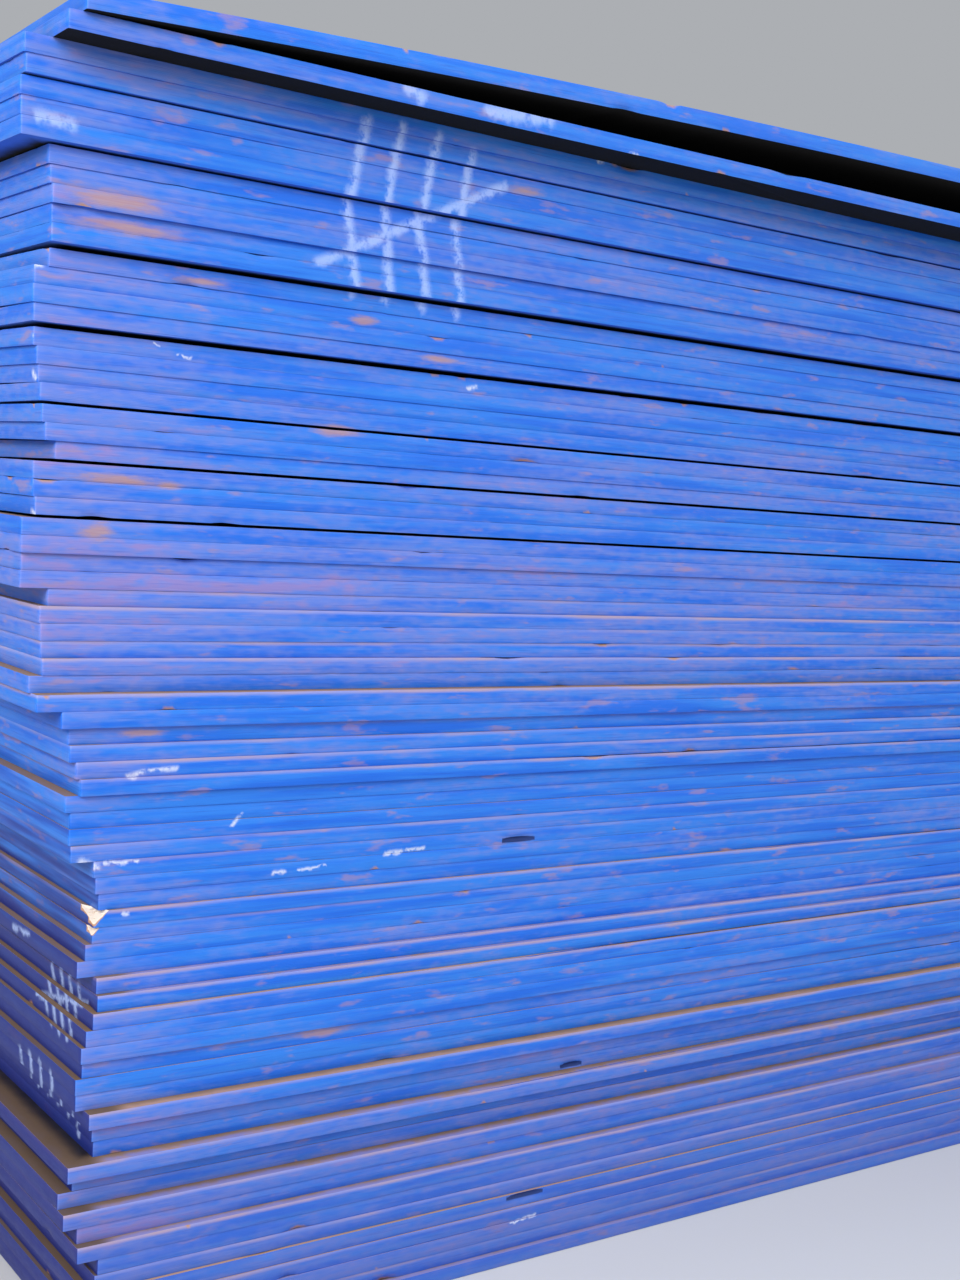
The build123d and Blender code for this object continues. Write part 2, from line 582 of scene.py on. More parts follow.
@dataclass
class SheetGroup:
    """The sheets of one CAD node, built as one piece that stands for it."""

    node: str
    sheets: list

    def build(self, templates: dict, materials: list) -> Object:
        """Build and dress the piece.

        Args:
            templates: Mesh of an unworn sheet for each bend.
            materials: The painted edge, the film face, and the marked front and end.

        Returns:
            The piece, which rides on the body and replaces its CAD node.
        """
        bm = bmesh.new()
        for sheet in self.sheets:
            part = self._part(sheet, templates[sheet.place.bend])
            bm.from_mesh(part)
            bpy.data.meshes.remove(part)
        mesh = stored(bm, f"{self.node}_worn")
        for material in materials:
            mesh.materials.append(material)
        self._mark(mesh)
        piece = bpy.data.objects.new(f"{self.node}_worn", mesh)
        bpy.context.scene.collection.objects.link(piece)
        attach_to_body(piece, "root")
        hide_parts(self.node)
        log.info("%s: %d sheets, %d faces", piece.name, len(self.sheets), len(mesh.polygons))
        return piece

    @staticmethod
    def _mark(mesh: Mesh) -> None:
        """Give the painted faces under a mark the material that draws it.

        Args:
            mesh: The mesh of the piece.
        """
        centres = fetched(mesh.polygons, "center", 3)
        normals = fetched(mesh.polygons, "normal", 3)
        indices = fetched(mesh.polygons, "material_index", kind=np.int32)
        for index, marks in ((2, FRONT_MARKS), (3, END_MARKS)):
            indices[marks.cover(centres, normals) & (indices == 0)] = index
        mesh.polygons.foreach_set("material_index", indices)

    @staticmethod
    def _part(sheet: Sheet, template: Mesh) -> Mesh:
        """Build one sheet, with its broken corner and the hollows in its core.

        Args:
            sheet: The sheet.
            template: Mesh of an unworn sheet.

        Returns:
            The mesh of the sheet in its place.
        """
        for corner in BROKEN:
            if corner.sheet == sheet.number:
                bm = bmesh.new()
                bm.from_mesh(template)
                corner.clip(bm, sheet.form)
                template = stored(bm, "broken_form")
        made = sheet.mesh(template)
        for void in VOIDS:
            if void.sheet == sheet.number:
                bm = bmesh.new()
                bm.from_mesh(made)
                void.sink(bm)
                bm.to_mesh(made)
                bm.free()
        return made


class Graph:
    """Adds nodes to one node tree. Values that aren't sockets are set on the input itself."""

    def __init__(self, tree: Tree) -> None:
        """Keep the tree that the nodes go in."""
        self.tree = tree

    def feed(self, socket: Socket, value: Value) -> None:
        """Link a socket to an input, or set the input to a plain value.

        Args:
            socket: The input.
            value: What it gets.
        """
        if isinstance(value, Socket):
            self.tree.links.new(value, socket)
        else:
            socket.default_value = value

    def node(self, kind: str, inputs: dict, **settings: object) -> Sockets:
        """Add a shader node.

        Args:
            kind: Type of node, without ShaderNode.
            inputs: Values of its inputs, by name or number.
            settings: Its settings, by name.

        Returns:
            Its outputs.
        """
        made = self.tree.nodes.new(f"ShaderNode{kind}")
        for name, value in settings.items():
            setattr(made, name, value)
        for name, value in inputs.items():
            self.feed(made.inputs[name], value)
        return made.outputs

    def math(self, operation: str, *values: Value, clamp: bool = False) -> Socket:
        """Do one operation on numbers."""
        return self.node("Math", dict(enumerate(values)), operation=operation, use_clamp=clamp)[0]

    def times(self, *values: Value) -> Socket:
        """Multiply numbers."""
        return reduce(lambda first, second: self.math("MULTIPLY", first, second), values)

    def plus(self, *values: Value) -> Socket:
        """Add numbers."""
        return reduce(lambda first, second: self.math("ADD", first, second), values)

    def swing(self, value: Value, size: float) -> Socket:
        """Scale a value from 0 to 1 so that it goes up and down by half a size."""
        return self.times(self.math("SUBTRACT", value, 0.5), size)

    def vector(self, operation: str, *values: Value) -> Socket:
        """Do one operation on vectors, which gives a vector."""
        return self.node("VectorMath", dict(enumerate(values)), operation=operation)["Vector"]

    def measure(self, operation: str, *values: Value) -> Socket:
        """Do one operation on vectors, which gives a number."""
        return self.node("VectorMath", dict(enumerate(values)), operation=operation)["Value"]

    def join(self, *values: Value) -> Socket:
        """Make a vector of three numbers."""
        return self.node("CombineXYZ", dict(enumerate(values)))[0]

    def split(self, vector: Value) -> Sockets:
        """Take the three numbers out of a vector."""
        return self.node("SeparateXYZ", {0: vector})

    def facing(self) -> Sockets:
        """Take the three numbers out of the normal of the surface."""
        return self.split(self.node("NewGeometry", {})["Normal"])

    def attribute(self, name: str) -> Socket:
        """Read an attribute of the mesh."""
        return self.node("Attribute", {}, attribute_name=name)["Fac"]

    def random(self, seed: Value) -> Socket:
        """Draw a number from 0 to 1 that belongs to a seed."""
        return self.node("TexWhiteNoise", {"W": seed}, noise_dimensions="1D")["Value"]

    def mix(self, share: Value, first: Value, second: Value) -> Socket:
        """Blend two colours by the share of the second one."""
        return self.node("Mix", {0: share, 6: first, 7: second}, data_type="RGBA")[2]

    def step(self, value: Value, low: float, high: float) -> Socket:
        """Go smoothly from 0 at low to 1 at high, which may be the smaller one."""
        ends = {1: min(low, high), 2: max(low, high), 3: float(low > high), 4: float(low <= high)}
        return self.node("MapRange", {0: value, **ends}, interpolation_type="SMOOTHSTEP")[0]

    def noise(self, vector: Value, scale: float, detail: Value = 3.0, roughness: float = 0.5) -> Socket:
        """Sample a noise, which is about 0.5 on average."""
        inputs = {"Vector": vector, "Scale": scale, "Detail": detail, "Roughness": roughness}
        return self.node("TexNoise", inputs)["Fac"]

    def bump(self, height: Value, strength: float, distance: float) -> Socket:
        """Turn a height into a normal. The distance is how many metres high 1 is."""
        inputs = {"Height": height, "Strength": strength, "Distance": distance}
        return self.node("Bump", inputs)["Normal"]

    def group(self, tree: Tree, **inputs: Value) -> Sockets:
        """Add a node group."""
        return self.node("Group", inputs, node_tree=tree)


class Effects:
    """Shader node groups that the finishes share, each built once."""

    def __init__(self) -> None:
        """Build every group."""
        self.map = self._group("sheet_map", {}, self._sheet_map)
        streaks = {"Grain": ORIGIN, "Lengthwise": 6.0, "Crosswise": 3.0, "Detail": 3.0}
        self.streaks = self._group("edge_streaks", streaks, self._streaks)
        spot = {"Place": ORIGIN, "Middle": ORIGIN, "Half": (0.02, 1.0, 0.01), "Rough": 0.0, "Ragged": 0.5}
        self.patch = self._group("ragged_patch", spot, self._patch)
        line = {"Place": ORIGIN, "Start": ORIGIN, "Run": (0.0, 0.0, 0.1), "Share": 100.0, "Widths": 200.0}
        self.stroke = self._group("stroke_reach", line, self._stroke)

    @staticmethod
    def _group(name: str, inputs: dict, build: Callable[[Graph, Sockets], dict]) -> Tree:
        """Make one group.

        Args:
            name: Name of the group.
            inputs: Default of each input, by name.
            build: Adds the nodes, given the inputs, and returns the outputs by name.

        Returns:
            The group.
        """
        graph = Graph(bpy.data.node_groups.new(name, "ShaderNodeTree"))
        sockets = graph.tree.interface
        for label, default in inputs.items():
            kind = "NodeSocketVector" if isinstance(default, tuple) else "NodeSocketFloat"
            sockets.new_socket(label, in_out="INPUT", socket_type=kind).default_value = default
        outputs = build(graph, graph.tree.nodes.new("NodeGroupInput").outputs)
        for label, value in outputs.items():
            kind = "NodeSocketVector" if value.type == "VECTOR" else "NodeSocketFloat"
            sockets.new_socket(label, in_out="OUTPUT", socket_type=kind)
        out = graph.tree.nodes.new("NodeGroupOutput")
        for label, value in outputs.items():
            graph.feed(out.inputs[label], value)
        return graph.tree

    @staticmethod
    def _sheet_map(graph: Graph, _: Sockets) -> dict:
        """Where a point is on its sheet, and which sheet it is.

        Args:
            graph: The graph of the group.

        Returns:
            Place along the edge, share of the thickness, sheet number, bare wood, a place
            for noises that is different on every sheet, and the place in the pile.
        """
        along, rise = graph.split(graph.node("UVMap", {}, uv_map="sheet")["UV"])[:2]
        number = graph.attribute("number")
        grain = graph.join(graph.plus(along, graph.times(number, 1.37)), rise, graph.times(number, 7.31))
        return {
            "Along": along,
            "Rise": rise,
            "Number": number,
            "Bare": graph.attribute("bare"),
            "Grain": grain,
            "Place": graph.node("TexCoord", {})["Object"],
        }

    @staticmethod
    def _streaks(graph: Graph, given: Sockets) -> dict:
        """Streaks that run along the edge: a long and fine noise.

        Args:
            graph: The graph of the group.
            given: Where they are, how fine they are each way, and their detail.

        Returns:
            Their value.
        """
        scale = graph.join(given["Lengthwise"], given["Crosswise"], 1.0)
        grain = graph.vector("MULTIPLY", given["Grain"], scale)
        return {"Value": graph.noise(grain, 1.0, given["Detail"], 0.6)}

    @staticmethod
    def _patch(graph: Graph, given: Sockets) -> dict:
        """A ragged spot whose outline is bent by a noise.

        Args:
            graph: The graph of the group.
            given: Place, the spot's middle and half sizes, the noise and how much it bends.

        Returns:
            1 in the spot, and 0 outside.
        """
        away = graph.vector("SUBTRACT", given["Place"], given["Middle"])
        reach = graph.measure("LENGTH", graph.vector("DIVIDE", away, given["Half"]))
        bent = graph.plus(reach, graph.times(given["Rough"], given["Ragged"]))
        return {"Value": graph.step(bent, 1.5, 0.2)}

    @staticmethod
    def _stroke(graph: Graph, given: Sockets) -> dict:
        """Distance from a stroke's line, in half widths of the stroke.

        Args:
            graph: The graph of the group.
            given: Place, start and run of the stroke, 1 / length squared and 1 / half width.

        Returns:
            The distance.
        """
        away = graph.vector("SUBTRACT", given["Place"], given["Start"])
        along = graph.measure("DOT_PRODUCT", away, given["Run"])
        share = graph.math("MULTIPLY", along, given["Share"], clamp=True)
        foot = graph.node("VectorMath", {0: given["Run"], "Scale": share}, operation="SCALE")["Vector"]
        return {"Value": graph.times(graph.measure("DISTANCE", away, foot), given["Widths"])}


@dataclass(frozen=True)
class Layer:
    """A colour that comes in as a value goes from low to high, at most to its strength."""

    colour: tuple
    low: float
    high: float
    strength: float = 1.0


@dataclass(frozen=True)
class Noise:
    """A noise: how fine, deep and rough it is, and what its place is multiplied with, if anything."""

    scale: float
    detail: float = 3.0
    roughness: float = 0.5
    sizes: tuple = ()


class Coat(Graph):
    """The shader of one finish, whose colour is built up layer by layer."""

    def __init__(self, name: str, effects: Effects, specular: float) -> None:
        """Start a material.

        Args:
            name: Name of the material.
            effects: The shared shader groups.
            specular: Specular level of the finish.
        """
        self.material = bpy.data.materials.new(name)
        self.material.use_nodes = True
        super().__init__(self.material.node_tree)
        self.shader = self.tree.nodes["Principled BSDF"].inputs
        self.shader["Specular IOR Level"].default_value = specular
        self.effects = effects
        self.sheet = self.group(effects.map)
        self.colour = None

    def share(self, layer: Layer, value: Value, *shares: Value) -> Socket:
        """Work out how strong a layer is.

        Args:
            layer: The layer.
            value: The value that it goes by.
            shares: What else it is multiplied with.

        Returns:
            How strong it is.
        """
        limit = () if layer.strength == 1.0 else (layer.strength,)
        return self.times(self.step(value, layer.low, layer.high), *limit, *shares)

    def blend(self, share: Value, colour: Value) -> None:
        """Put a share of another colour over what is there."""
        self.colour = self.mix(share, self.colour, colour)

    def lay(self, layer: Layer, value: Value, *shares: Value) -> None:
        """Put a layer over what is there."""
        self.blend(self.share(layer, value, *shares), layer.colour)

    def streaks(self, lengthwise: float, crosswise: float, detail: float) -> Socket:
        """Sample streaks along the edge, by how fine they are each way."""
        sizes = {"Lengthwise": lengthwise, "Crosswise": crosswise, "Detail": detail}
        return self.group(self.effects.streaks, Grain=self.sheet["Grain"], **sizes)["Value"]

    def sample(self, where: str, noise: Noise) -> Socket:
        """Sample a noise.

        Args:
            where: Output of the sheet's map that it is sampled at.
            noise: The noise.

        Returns:
            Its value.
        """
        place = self.sheet[where]
        if noise.sizes:
            place = self.vector("MULTIPLY", place, noise.sizes)
        return self.noise(place, noise.scale, noise.detail, noise.roughness)

    def finished(self, rough: Value, normal: Value) -> Material:
        """Feed the shader.

        Args:
            rough: Roughness.
            normal: Normal.

        Returns:
            The material.
        """
        for name, value in (("Base Color", self.colour), ("Roughness", rough), ("Normal", normal)):
            self.feed(self.shader[name], value)
        return self.material


@dataclass(frozen=True)
class Patch:
    """A ragged spot on the long edge: place along X, height, half length and half height."""

    x: float
    z: float
    half_x: float
    half_z: float
    ragged: float = 0.5

    def box(self) -> tuple:
        """Middle and half sizes of the box that the whole spot is in."""
        return self.x, self.z, 2.4 * self.half_x + 0.006, 2.4 * self.half_z + 0.006


@dataclass(frozen=True)
class Stroke:
    """A stroke between two places along the edge and up, with half its width."""

    start: tuple
    stop: tuple
    half: float

    @classmethod
    def rows(cls, *rows: tuple) -> tuple:
        """Make a stroke of each row of five numbers: two places and half a width."""
        return tuple(cls(row[:2], row[2:4], row[4]) for row in rows)

    def box(self) -> tuple:
        """Find the box that the whole stroke is in.

        Returns:
            Its middle and its half sizes.
        """
        (x1, z1), (x2, z2) = self.start, self.stop
        pad = 2 * self.half + 0.010
        return (x1 + x2) / 2, (z1 + z2) / 2, abs(x1 - x2) / 2 + pad, abs(z1 - z2) / 2 + pad


@dataclass(frozen=True)
class Marks:
    """What is chalked, rubbed off and scuffed on one side of the pile.

    axis is 0 for the long edge, where places run along X, and 1 for the end.
    """

    axis: int = 0
    patches: tuple = ()
    chalk: tuple = ()
    scuffs: tuple = ()

    def cover(self, centres: Array, normals: Array) -> Array:
        """Find the faces that a mark may reach.

        Args:
            centres: Centre of each face.
            normals: Normal of each face.

        Returns:
            True for each of these faces.
        """
        inside = np.zeros(len(centres), bool)
        along, up = centres[:, self.axis], centres[:, 2]
        for mark in (*self.patches, *self.chalk, *self.scuffs):
            at, height, half_along, half_up = mark.box()
            inside |= (np.abs(along - at) < half_along) & (np.abs(up - height) < half_up)
        return inside & (normals[:, 1 - self.axis] < -0.3)


@dataclass(frozen=True)
class Dry:
    """A dry mark: its colour, the grain at which half of it holds, and its strength."""

    colour: tuple
    holds_at: float
    strength: float


@dataclass(frozen=True)
class PaintedEdge:
    """Blue paint on the cut edges: streaky, thin in places and off on the worn arrises.

    Each kind of streaks has how fine it is along and across the edge, and its detail. A swing
    is how much a pattern changes how thin the paint is, and thin_at is how thin it is at each
    share of the height top. It gets thinner by corner_thinner between the places near_corner
    along X. relief is the strength of the relief and its height, and plies how fast the plies
    change up the edge and how much they stand out.
    """

    deep: tuple = linear(20, 104, 220)
    plain: Layer = Layer(linear(40, 124, 226), 0.34, 0.62)
    thin: Layer = Layer(linear(108, 128, 209), 0.16, 1.06)
    rosy: Layer = Layer(linear(148, 124, 184), 0.80, 1.2, 0.62)
    shade: Layer = Layer(linear(34, 82, 186), 0.55, 0.72, 0.4)
    # Painted shade: darker blue at the foot of each sheet's edge, in the groove between sheets
    painted_arris_shade: Layer = Layer(linear(34, 82, 186), 0.10, 0.0, 0.15)
    pale: Layer = Layer(linear(146, 152, 214), 0.42, 0.27)
    cream: Layer = Layer(linear(182, 156, 166), 0.42, 0.62)
    speck: Layer = Layer(linear(164, 130, 150), 0.60, 0.74, 0.5)
    # Painted shade: the paint gets darker towards the floor, below 0.3 m
    painted_floor_shade: Layer = Layer(linear(78, 84, 150), 0.30, 0.0, 0.42)
    # Painted shade: the end of the pile goes dark navy towards the floor
    painted_end_shade: Layer = Layer(linear(18, 27, 114), 0.54, 0.33, 0.92)
    wood: tuple = linear(190, 134, 78)
    fresh_wood: Layer = Layer(linear(196, 150, 100), 0.35, 0.65)
    splinter: Layer = Layer(linear(232, 218, 204), 1.3, 1.8)
    # Blue paint inside the core hollows, darkened as painted shade
    core: Layer = Layer(linear(26, 52, 116), -0.2, -0.8)
    chalk: Dry = Dry(linear(178, 200, 250), 0.82, 0.66)
    scuff: Dry = Dry(linear(232, 236, 246), 0.84, 0.72)
    wood_strength: float = 0.85
    rubbed_strength: float = 0.74
    rubbed_swing: float = 4.4
    specular: float = 0.36
    roughness: float = 0.44
    thin_rougher: float = 0.16
    wood_rougher: float = 0.25
    relief: tuple = (0.3, 0.0006)
    plies: tuple = (69.0, 0.12)
    broad_streaks: tuple = (5.0, 1.3, 2.0)
    fine_streaks: tuple = (17.0, 9.0, 3.0)
    arris_streaks: tuple = (9.0, 0.4, 3.0)
    saw_streaks: tuple = (36.0, 15.0, 2.0)
    cloud: Noise = Noise(1.0, 4.0, 0.66, (4.4, 4.4, 36.0))
    mottle: Noise = Noise(1.0, 1.0, 0.6, (60.0, 60.0, 170.0))
    specks: Noise = Noise(1.0, 3.0, 0.55, (22.0, 22.0, 84.0))
    rubbing: Noise = Noise(1.0, 4.0, 0.66, (30.0, 30.0, 150.0))
    chalk_grain: Noise = Noise(420.0, 3.0, 0.7)
    chalk_blotch: Noise = Noise(105.0, 2.0)
    chalk_wobble: float = 0.009
    cloud_swing: float = 1.7
    sheet_swing: float = 0.18
    streak_swing: float = 0.9
    mottle_swing: float = 0.8
    near_corner: tuple = (-1.04, -1.19)
    corner_thinner: float = 0.24
    top: float = 1.12
    thin_at: tuple = (
        (0.0, 0.52), (0.10, 0.50), (0.16, 0.47), (0.23, 0.36), (0.31, 0.32), (0.38, 0.26),
        (0.44, 0.16), (0.50, 0.34), (0.56, 0.60), (0.62, 0.68), (0.67, 0.44), (0.72, 0.56),
        (0.77, 0.42), (0.83, 0.34), (0.89, 0.50), (0.95, 0.36), (1.0, 0.38),
    )

    def material(self, effects: Effects, name: str, marks: Marks) -> Material:
        """Build the material.

        Args:
            effects: The shared shader groups.
            name: Name of the material.
            marks: What was drawn on these faces or came off them.

        Returns:
            The painted edge.
        """
        coat = Coat(name, effects, self.specular)
        bare = coat.sheet["Bare"]
        soft, fine = coat.streaks(*self.broad_streaks), coat.streaks(*self.fine_streaks)
        thin = self._paint(coat, soft, fine)
        self._arris(coat)
        height = coat.split(coat.sheet["Place"])[2]
        # Painted shade: dark navy low on the end faces, with a ragged top
        at_end = coat.step(coat.facing()[0], -0.55, -0.85)
        coat.lay(self.painted_end_shade, coat.plus(height, coat.swing(soft, 0.3)), at_end)
        wood = self._rubbed(coat, coat.step(bare, 0.35, 0.9), marks.patches)
        tint = coat.mix(coat.share(self.fresh_wood, fine), self.wood, self.fresh_wood.colour)
        coat.blend(coat.times(wood, self.wood_strength), tint)
        coat.lay(self.splinter, bare)
        # Blue paint in the hollows, darkened as painted shade
        coat.lay(self.core, bare)
        if marks.chalk or marks.scuffs:
            self._chalked(coat, marks)
        plies = coat.math("SINE", coat.times(coat.sheet["Rise"], self.plies[0]))
        relief = coat.plus(coat.times(plies, self.plies[1]), coat.streaks(*self.saw_streaks))
        rougher = coat.times(wood, self.wood_rougher)
        rough = coat.plus(coat.times(thin, self.thin_rougher), self.roughness, rougher)
        return coat.finished(rough, coat.bump(relief, *self.relief))

    def _thinness(self, coat: Coat, soft: Socket) -> Socket:
        """Work out how thin the paint is.

        Args:
            coat: The shader.
            soft: Broad streaks.

        Returns:
            How thin it is, a number that goes past 0 and 1.
        """
        x, _, z = coat.split(coat.sheet["Place"])
        by_height = coat.node("ValToRGB", {0: coat.math("DIVIDE", z, self.top)})["Color"]
        ramp = by_height.node.color_ramp
        ramp.interpolation = "EASE"
        while len(ramp.elements) < len(self.thin_at):
            ramp.elements.new(0.5)
        for element, (at, value) in zip(ramp.elements, self.thin_at):
            element.position = at
            element.color = (value, value, value, 1)
        by_corner = coat.times(coat.step(x, *self.near_corner), coat.step(coat.facing()[1], -0.5, -0.9))
        return coat.plus(
            coat.swing(coat.sample("Place", self.cloud), self.cloud_swing),
            coat.swing(coat.random(coat.sheet["Number"]), self.sheet_swing),
            coat.swing(soft, self.streak_swing),
            by_height,
            coat.swing(coat.sample("Place", self.mottle), self.mottle_swing),
            coat.times(by_corner, self.corner_thinner),
        )

    def _paint(self, coat: Coat, soft: Socket, fine: Socket) -> Socket:
        """Lay the coat of paint, with painted shade towards the floor.

        Args:
            coat: The shader.
            soft: Broad streaks.
            fine: Fine streaks.

        Returns:
            How thin it is, 0 to 1.
        """
        cover = self._thinness(coat, soft)
        thin = coat.share(self.thin, cover)
        coat.colour = coat.mix(coat.share(self.plain, soft), self.deep, self.plain.colour)
        coat.blend(thin, self.thin.colour)
        coat.lay(self.rosy, cover)
        coat.lay(self.shade, fine)
        coat.lay(self.pale, fine, coat.plus(0.06, coat.times(thin, 0.30)))
        coat.lay(self.speck, coat.sample("Place", self.specks))
        # Painted shade: darker towards the floor
        coat.lay(self.painted_floor_shade, coat.split(coat.sheet["Place"])[2])
        return thin

    def _arris(self, coat: Coat) -> None:
        """Lay the pale line along the top of a sheet, where its paint is worn and dusty, and painted shade
        at the foot of its edge.

        Args:
            coat: The shader.
        """
        pale, rise = coat.attribute("pale"), coat.sheet["Rise"]
        broken = coat.streaks(*self.arris_streaks)
        line = coat.step(coat.plus(rise, coat.swing(broken, 0.16)), 0.70, 0.95)
        kept = coat.step(coat.plus(coat.times(pale, 1.1), coat.times(broken, 0.8)), 0.42, 1.25)
        tint = coat.mix(coat.share(self.cream, broken), self.pale.colour, self.cream.colour)
        # Painted shade in the groove at the foot of the edge, where the sheets meet
        coat.lay(self.painted_arris_shade, rise)
        coat.blend(coat.times(line, kept, coat.plus(coat.times(pale, 0.35), 0.5)), tint)

    def _rubbed(self, coat: Coat, wood: Socket, patches: tuple) -> Socket:
        """Bare the patches where the paint was rubbed off.

        Args:
            coat: The shader.
            wood: How bare the wood is without them.
            patches: The patches.

        Returns:
            How bare the wood is.
        """
        if not patches:
            return wood
        rough = coat.swing(coat.sample("Place", self.rubbing), self.rubbed_swing)
        flat = coat.vector("MULTIPLY", coat.sheet["Place"], (1.0, 0.0, 1.0))
        for patch in patches:
            box = {"Middle": (patch.x, 0.0, patch.z), "Half": (patch.half_x, 1.0, patch.half_z)}
            noise = {"Rough": rough, "Ragged": patch.ragged}
            spot = coat.group(coat.effects.patch, Place=flat, **box, **noise)["Value"]
            wood = coat.math("MAXIMUM", wood, coat.times(spot, self.rubbed_strength))
        return wood

    def _chalked(self, coat: Coat, marks: Marks) -> None:
        """Draw strokes of dry chalk, and scuffs that are whiter and sharper.

        Args:
            coat: The shader.
            marks: The strokes and scuffs.
        """
        grain, blotch = coat.sample("Place", self.chalk_grain), coat.sample("Place", self.chalk_blotch)
        flat = coat.vector("MULTIPLY", coat.sheet["Place"], (1 - marks.axis, marks.axis, 1))
        moved = coat.vector("ADD", flat, coat.join(*[coat.swing(blotch, self.chalk_wobble)] * 3))
        for strokes, dry in ((marks.chalk, self.chalk), (marks.scuffs, self.scuff)):
            if not strokes:
                continue
            reaches = [self._reach(coat, moved, stroke, marks.axis) for stroke in strokes]
            near = reduce(lambda first, second: coat.math("MINIMUM", first, second), reaches)
            near = coat.plus(near, coat.swing(grain, 1.6))
            left = coat.math("SUBTRACT", coat.plus(grain, blotch), coat.times(near, 0.2))
            body = coat.step(left, dry.holds_at - 0.28, dry.holds_at + 0.26)
            coat.blend(coat.times(coat.step(near, 1.7, 0.2), body, dry.strength), dry.colour)

    @staticmethod
    def _reach(coat: Coat, place: Socket, stroke: Stroke, axis: int) -> Socket:
        """Measure the distance from one stroke.

        Args:
            coat: The shader.
            place: Where it is measured.
            stroke: The stroke.
            axis: Axis that its side of the pile runs along.

        Returns:
            The distance, in half widths of the stroke.
        """
        start, stop = (
            Vector((0, along, up) if axis else (along, 0, up)) for along, up in (stroke.start, stroke.stop)
        )
        run = stop - start
        sizes = {"Share": 1 / run.length_squared, "Widths": 1 / stroke.half}
        return coat.group(coat.effects.stroke, Place=place, Start=start, Run=run, **sizes)["Value"]


@dataclass(frozen=True)
class PhenolicFilm:
    """Brown-black film on both faces, with dust and blue overspray along the edges.

    relief is the strength of the relief and its height.
    """

    dark: tuple = linear(36, 33, 31)
    brown: Layer = Layer(linear(50, 45, 42), 0.35, 0.68)
    dust: Layer = Layer(linear(150, 121, 97), 0.026, 0.010, 0.9)
    lilac: tuple = linear(136, 138, 200)
    cream: Layer = Layer(linear(186, 148, 128), 0.3, 0.7)
    golden: Layer = Layer(linear(148, 120, 92), 0.040, 0.020)
    spray: Layer = Layer(linear(56, 104, 214), 0.026, 0.004, 0.9)
    # Painted shade: the film's underside, near black, much darker than the same film on top
    under: tuple = linear(7, 7, 9)
    half_length: float = 1.22
    half_width: float = 0.61
    specular: float = 0.24
    roughness: float = 0.34
    dusty_rougher: float = 0.4
    under_rougher: float = 0.64
    relief: tuple = (0.12, 0.0004)
    grain: Noise = Noise(2.0, 4.0, 0.6, (2.2, 26.0, 1.0))
    scuff: Noise = Noise(3.0, 3.0, 0.7, (5.0, 40.0, 1.0))
    cloud: Noise = Noise(3.4, 4.0, 0.62)
    ragged: Noise = Noise(34.0, 3.0, 0.65)

    def material(self, effects: Effects) -> Material:
        """Build the material.

        Args:
            effects: The shared shader groups.

        Returns:
            The film face.
        """
        coat = Coat("phenolic_film", effects, self.specular)
        grain, scuff, cloud = (coat.sample("Grain", each) for each in (self.grain, self.scuff, self.cloud))
        coat.colour = coat.mix(coat.share(self.brown, grain), self.dark, self.brown.colour)
        clouds, scuffs = coat.step(cloud, 0.5, 0.74), coat.step(scuff, 0.62, 0.78)
        smudge = coat.plus(coat.times(clouds, 0.18), coat.times(scuffs, 0.2))
        rim, below = self._rim(coat, smudge)
        dusty = coat.times(coat.math("MAXIMUM", smudge, rim), self.dusty_rougher)
        rough = coat.plus(self.roughness, dusty, coat.times(below, self.under_rougher))
        return coat.finished(rough, coat.bump(grain, *self.relief))

    def _rim(self, coat: Coat, smudge: Socket) -> tuple[Socket, Socket]:
        """Lay dust and overspray near the edges, painted shade on the underside, and painted shade low
        down near the end.

        Args:
            coat: The shader.
            smudge: How strong the dust is elsewhere.

        Returns:
            How strong the dust is near the edges, and 1 on the underside.
        """
        sheet = coat.sheet
        from_end, from_side = (
            coat.math("SUBTRACT", half, coat.math("ABSOLUTE", value))
            for value, half in ((sheet["Along"], self.half_length), (sheet["Rise"], self.half_width))
        )
        uneven = coat.math("SUBTRACT", coat.sample("Grain", self.ragged), 0.5)
        reach = coat.plus(coat.math("MINIMUM", from_end, from_side), coat.times(uneven, 0.010))
        upward = coat.step(coat.facing()[2], 0.2, 0.7)
        below = coat.math("SUBTRACT", 1.0, upward)
        seed = coat.random(coat.plus(sheet["Number"], 11.5))
        creamy = coat.share(self.cream, coat.plus(coat.times(seed, 0.9), uneven))
        dust, at_end = coat.share(self.dust, reach), coat.share(self.golden, from_end)
        coat.blend(coat.times(coat.math("MAXIMUM", smudge, dust), upward), self.dust.colour)
        pale = coat.mix(creamy, self.lilac, self.cream.colour)
        pale = coat.mix(coat.times(at_end, 0.85), pale, self.golden.colour)
        coat.blend(coat.times(coat.step(reach, 0.0105, 0.0015), upward, 0.85), pale)
        height = coat.split(sheet["Place"])[2]
        # Painted shade: the film near the end goes dark towards the floor
        coat.blend(coat.times(coat.step(height, 0.55, 0.15), 0.55, at_end), self.dark)
        # Painted shade: the underside goes near black
        coat.blend(coat.times(below, 0.95), self.under)
        in_pile = coat.step(sheet["Number"], 90.0, 89.0)
        coat.lay(self.spray, reach, below, in_pile)
        return coat.times(dust, upward), below


@dataclass(frozen=True)
class PaleFloor:
    """Matt pale floor that the pile stands on."""

    colour: tuple = linear(214, 214, 212)
    roughness: float = 0.7

    def material(self) -> Material:
        """Build the material.

        Returns:
            The floor.
        """
        made = bpy.data.materials.new("pale_floor")
        made.use_nodes = True
        shader = made.node_tree.nodes["Principled BSDF"].inputs
        shader["Base Color"].default_value = self.colour
        shader["Roughness"].default_value = self.roughness
        return made


